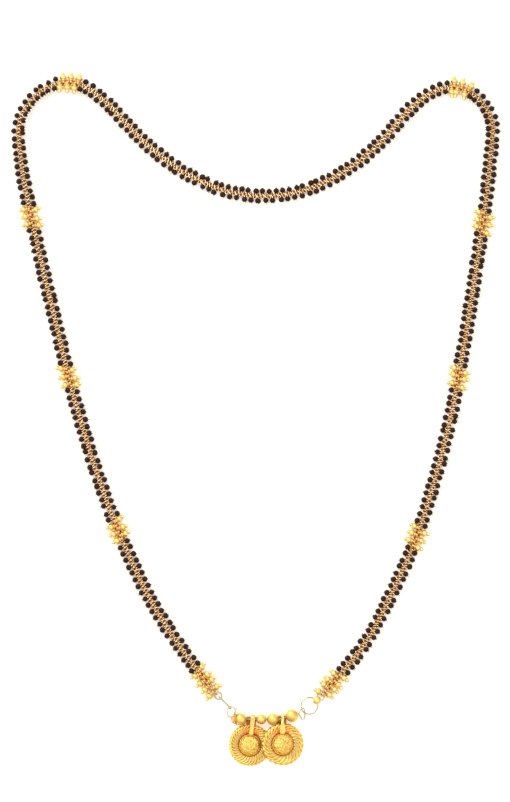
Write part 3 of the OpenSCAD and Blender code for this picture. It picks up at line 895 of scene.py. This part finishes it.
# The same for the strip's wide end, which goes into the frame.
root_strip = ((0.9, 1.6), (0, 1.4), (-1.2, 1.3), (-2.4, 1.2), (-3.2, 1.1))
root_width = 3.8 * MM
root_aside = -0.45 * MM
strip_sides = 12
strip_squareness = 0.6
coil_steps = 18
core_ring_width = 3.1 * MM
core_ring_height = 1.3 * MM
core_ring_inwards = 0.35 * MM
shade_down = 6 * MM
shade_reach = 3.2 * MM


def coiled_frames():
    """The tree that winds a wire round a circle, thicker outside, with its turns across it."""
    tree, given = new_tree("coiled frame", {
        "Start": "Geometry", "Turns": "Int", "Steps": "Int", "Middle radius": "Float",
        "Half width": "Float", "Half height": "Float", "Lean": "Float", "Hook": "Float",
        "Wire": "Float", "Swell": "Float", "Finish": "Material"})
    count = given.other("Turns") * given.other("Steps")
    ring = given.node("GeometryNodeCurvePrimitiveCircle", {}, {"Resolution": count, "Radius": 1.0})
    angle = given.node("GeometryNodeInputIndex") / count * (2 * math.pi)
    winding = angle * given.other("Turns")
    out = winding.maths("COSINE", winding)
    far = out.maths("MAXIMUM", out, 0)
    radius = given.other("Middle radius") + given.other("Half width") * out
    sweep = given.other("Lean") * out + given.other("Hook") * far * far * far
    turned_to = angle - sweep / given.other("Turns")
    place = given.node("ShaderNodeCombineXYZ", {}, {
        0: radius * angle.maths("COSINE", turned_to), 1: radius * angle.maths("SINE", turned_to),
        2: given.other("Half height") * winding.maths("SINE", winding)})
    wound = given.node("GeometryNodeSetPosition", {}, {"Geometry": ring, "Position": place})
    swollen = given.node("GeometryNodeSetCurveRadius", {}, {
        "Curve": wound, "Radius": 1 + given.other("Swell") * far})
    # How far out each point of the wire lies, kept for the painted shade on the turns' inner side.
    outward = given.node("GeometryNodeStoreNamedAttribute", {"data_type": "FLOAT"},
                         {"Geometry": swollen, "Name": "outward", "Value": out})
    section = given.node("GeometryNodeCurvePrimitiveCircle", {}, {
        "Resolution": 8, "Radius": given.other("Wire") / 2})
    finish_tree(given, given.node("GeometryNodeCurveToMesh", {}, {
        "Curve": outward, "Profile Curve": section,
        "Scale": given.node("GeometryNodeInputRadius")}))
    return tree


def cup():
    """A domed cup, open underneath, with a wire round its rim, turned round +Y."""

    def dome(radius, height, steps):
        angles = [math.pi / 2 * k / steps for k in range(steps + 1)]
        return [(radius * math.sin(angle) ** dome_width_power,
                 rim_height + height * max(0, math.cos(angle)) ** dome_height_power)
                for angle in angles]

    outside = dome(cup_radius, cup_height, steps=24) + [(cup_radius, rim_height - skirt)]
    inside = [(cup_radius - cup_wall, rim_height - skirt)] + dome(
        cup_radius - cup_wall, cup_height - cup_wall, steps=12)[::-1]
    rim = ring_profile(cup_radius, rim_height + rim_rise, rim_wire, rim_wire, steps=12)
    return joined(turned(outside + inside, cup_sides), turned(rim, cup_sides, closed=True))


def strip(path, widths):
    """A bent metal strip along a path in the YZ plane, with its width along X."""
    points, rows = [], []
    for index, (middle, width) in enumerate(zip(path, widths)):
        ahead = (path[min(index + 1, len(path) - 1)] - path[max(index - 1, 0)]).normalized()
        up = Vector((1, 0, 0)).cross(ahead)
        rows.append(list(range(len(points), len(points) + strip_sides)))
        for angle in full_turn(strip_sides):
            across = math.copysign(abs(math.cos(angle)) ** strip_squareness, math.cos(angle))
            points.append(middle + Vector((across * width / 2, 0, 0))
                          + up * math.sin(angle) * bail_thickness / 2)
    return points, skin(rows) + [rows[0], rows[-1][::-1]]


def bail(lift, widths):
    """The strip round the carrier wire and down on the cup, hung at the origin."""
    path = [Vector((0, bail_back + bail_eye * math.cos(angle),
                    wire_height + bail_eye_height * math.sin(angle)))
            for angle in [math.radians(degrees) for degrees in bail_bends]]
    over = lift + frame_height + bail_over_frame
    path.append(Vector((0, bail_neck[0] * MM, max(over, wire_height) + bail_neck[1] * MM)))
    path += [Vector((0, down * MM, over + up * MM)) for down, up in bail_strip]
    return strip(path, [widths[0]] * (len(path) - len(widths)) + widths)


def bail_root():
    """The wide end of the strip, which goes from under the carrier wire into the frame."""
    return strip([Vector((root_aside, down * MM, up * MM)) for down, up in root_strip],
                 [root_width] * len(root_strip))


# The cups' lower edge is painted a warm orange, as painted shade on the side away from the light.
pendant_gold = gold("pendant gold and painted shade", bright=(0.84, 0.63, 0.2), deep=(0.68, 0.43, 0.08), rough=0.38,
                    cloud_scale=900, grain_scale=1150, relief=2.2 * MM,
                    tints=[("low edge", 0.98, 1.28, (1.0, 0.64, 0.12))])
bail_gold = gold("bail gold", bright=(0.88, 0.66, 0.23), deep=(0.8, 0.51, 0.13), rough=0.36)
# The strip's wide end is painted near black, as painted shade beside and under the bail.
bail_root_shade = gold("bail root painted shade", bright=(0.36, 0.15, 0.03), deep=(0.2, 0.07, 0.01), rough=0.4)
frame_core_gold = gold("frame core gold", bright=(0.86, 0.65, 0.27), deep=(0.72, 0.49, 0.17),
                       rough=0.5)
# The inner side of each turn is painted duller, and the turns round the strip's foot deep orange:
# both are painted shade.
coil_gold_and_shade = gold("coil gold and painted shade", bright=(0.84, 0.64, 0.19), deep=(0.72, 0.47, 0.1), rough=0.36,
                 tints=[("outward", 0.4, -0.3, (0.68, 0.49, 0.18)),
                        ("shade", 0.15, 0.6, (0.8, 0.26, 0.02))])
coil_tree = coiled_frames()
# Each pendant hangs a little left of a bead, and is turned a little on the wire.
left_before_bead, left_turn = 3.4 * MM, -6.5
right_before_bead, right_turn = 3.65 * MM, -1.5
left_x = bead_places["b"].x - left_before_bead
right_x = bead_places["d"].x - right_before_bead
left_hang = combined(shifted(left_x, wire_left.y, 0), spun(left_turn, "Z"))
right_hang = combined(shifted(right_x, on_wire(right_x).y, 0), spun(right_turn, "Z"))
# The right frame leans on the left one: its tilt, and how high its middle then lies.
coil_outside = 8.05 * MM
coil_wire = 0.5 * MM
lean_gap = 0.45 * MM
coil_middle = (frame_inside + coil_outside) / 2
coil_half = (coil_outside - frame_inside) / 2
coil_half_height = (frame_height - coil_wire) / 2
tilt = math.asin((frame_height + lean_gap) / (frame_outside + coil_middle))
lift = (coil_middle * math.sin(tilt)
        + math.hypot(coil_half * math.sin(tilt), coil_half_height * math.cos(tilt))
        + coil_wire / 2 - rim_height * math.cos(tilt))
for side, hang, tilted, raised, turns, thick, widths in (
        ("left", left_hang, 0, 0, 34, 0.76 * MM, (1.9, 1.7, 1.7, 1.9, 1.7)),
        ("right", right_hang, math.degrees(tilt), lift, 24, 0.98 * MM,
         (1.2, 1.8, 2.6, 2.4, 1.4))):
    node = side + "_pendant"
    seat = combined(hang, shifted(0, -pendant_drop, raised), spun(tilted, "Y"))
    shape = cup()
    piece = solid(side + "_cup", moved(shape, seat, spun(90, "X")), pendant_gold)
    # How far out each point of the cup lies, counted further on its lower side, for the painted
    # shade there.
    mark(piece, "low edge", [(math.hypot(point.x, point.z) + low_edge_shade_share * point.z)
                             / cup_radius for point in shape[0]])
    kept(piece, "pendant_gold", node)

    coil = bpy.data.objects.new(side + "_frame", bpy.data.meshes.new(side + "_frame"))
    bpy.context.collection.objects.link(coil)
    grown(coil, coil_tree, {
        "Turns": turns, "Steps": coil_steps, "Middle radius": coil_middle,
        "Half width": (frame_outside - thick / 2 - frame_inside) / 2,
        "Half height": (frame_height - thick) / 2, "Lean": 3.2, "Hook": 5.0, "Wire": thick,
        "Swell": 0.42, "Finish": coil_gold_and_shade})
    coil.data.transform(combined(seat, shifted(0, 0, rim_height)))
    coil.data.shade_smooth()
    # The turns are shaded round the strip's foot.
    foot = hang @ Vector((0, -shade_down, 0))
    mark(coil, "shade", [math.exp(-((vertex.co.xy - foot.xy).length / shade_reach) ** 2)
                         for vertex in coil.data.vertices])
    kept(coil, "pendant_gold", node)

    # The wire is wound on a flat ring.
    profile = ring_profile(coil_middle - core_ring_inwards, rim_height, core_ring_width,
                           core_ring_height, steps=12)
    piece = solid(side + "_frame_core", moved(turned(profile, cup_sides, closed=True), seat,
                                              spun(90, "X")), frame_core_gold)
    kept(piece, "pendant_gold", node)
    strip_widths = [width * MM for width in widths]
    piece = solid(side + "_bail", moved(bail(raised, strip_widths), hang), bail_gold)
    kept(piece, "pendant_gold", node)
    piece = solid(side + "_bail_root", moved(bail_root(), hang), bail_root_shade)
    kept(piece, "pendant_gold", node)


# Table, light and camera
# A plain table, white and glowing a little as painted light, soft studio light from all round
# with more from the upper left, and a camera straight above the necklace.

table_reach = 3
table_depth = -0.02 * MM
table_shade_scale = 40


def glowing_white_table():
    finish, place = new_finish("glowing white table")
    # The table's faint glow is painted light: it lifts the shadows on the table and lights the
    # necklace from below.
    surface = place.node("ShaderNodeBsdfPrincipled", {}, {
        "Base Color": blended(noise(place, table_shade_scale), (0.9, 0.89, 0.87),
                              (0.92, 0.91, 0.89)),
        "Roughness": 0.9, "Emission Color": (0.95, 0.97, 1, 1), "Emission Strength": 0.3})
    place.node("ShaderNodeOutputMaterial", {}, {"Surface": surface})
    return finish


corners = [Vector((x * table_reach, y * table_reach, table_depth))
           for x, y in ((-1, -1), (1, -1), (1, 1), (-1, 1))]
table = solid("table", (corners, [[0, 1, 2, 3]]), glowing_white_table())

# The room is white overhead and a little to the back, and warm low down.
brightest_way = (-0.12, 0.22, 0.968)
room_stops = [(0.1, (0.5, 0.24, 0.05)), (0.3, (0.84, 0.54, 0.18)), (0.5, (1, 0.96, 0.9)),
              (1.0, (1.05, 1.05, 1.05))]
world = bpy.data.worlds.new("studio")
bpy.context.scene.world = world
world.use_nodes = True
world.node_tree.nodes.clear()
towards = Link(world.node_tree).node("ShaderNodeTexCoord", {}, {}, "Generated")
height = towards.node("ShaderNodeVectorMath", {"operation": "DOT_PRODUCT"},
                      {0: towards, 1: brightest_way}, "Value")
glow = towards.node("ShaderNodeValToRGB", {"stops": room_stops}, {0: height}, "Color")
background = towards.node("ShaderNodeBackground", {}, {"Color": glow, "Strength": 1.15})
towards.node("ShaderNodeOutputWorld", {}, {"Surface": background})
lamp_size = 1.2
for title, place, power in (("key light", (-0.7, 1.0, 1.3), 16),
                            ("fill light", (1.0, -0.5, 1.2), 4)):
    lamp = bpy.data.lights.new(title, "AREA")
    lamp.energy = power
    lamp.size = lamp_size
    light = bpy.data.objects.new(title, lamp)
    light.location = place
    light.rotation_euler = (-Vector(place)).to_track_quat("-Z", "Y").to_euler()
    bpy.context.collection.objects.link(light)

lens = bpy.data.cameras.new("camera")
lens.lens = 250
lens.sensor_width = 36
camera = bpy.data.objects.new("camera", lens)
camera.location = (-0.3 * MM, 6.95 * MM, 2.2288)
bpy.context.collection.objects.link(camera)
bpy.context.scene.camera = camera
bpy.context.scene.view_settings.view_transform = "Standard"
